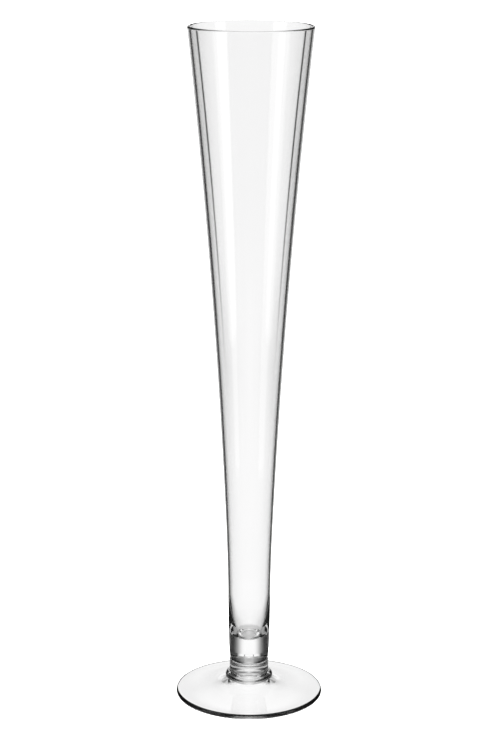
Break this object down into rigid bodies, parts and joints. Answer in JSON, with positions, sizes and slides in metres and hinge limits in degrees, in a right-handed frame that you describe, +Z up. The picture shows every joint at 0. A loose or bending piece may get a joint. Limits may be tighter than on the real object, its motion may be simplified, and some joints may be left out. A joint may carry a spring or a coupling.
{
  "type": "trumpet vase",
  "caption": "Tall clear glass trumpet vase: a slim flared bowl on a solid plug, a beaded collar and a round disc foot.",
  "frame": {"origin": "centre of the ring that the foot rests on, in the plane of the table", "axes": "+Z up along the vase's turning axis; X and Y are alike, because the vase is round"},
  "size_m": [0.1318, 0.1318, 0.6],
  "materials": {
    "clear_glass": "polished"
  },
  "bodies": {
    "root": {"bowl": "clear_glass", "collar": "clear_glass", "foot": "clear_glass"}
  },
  "joints": []
}
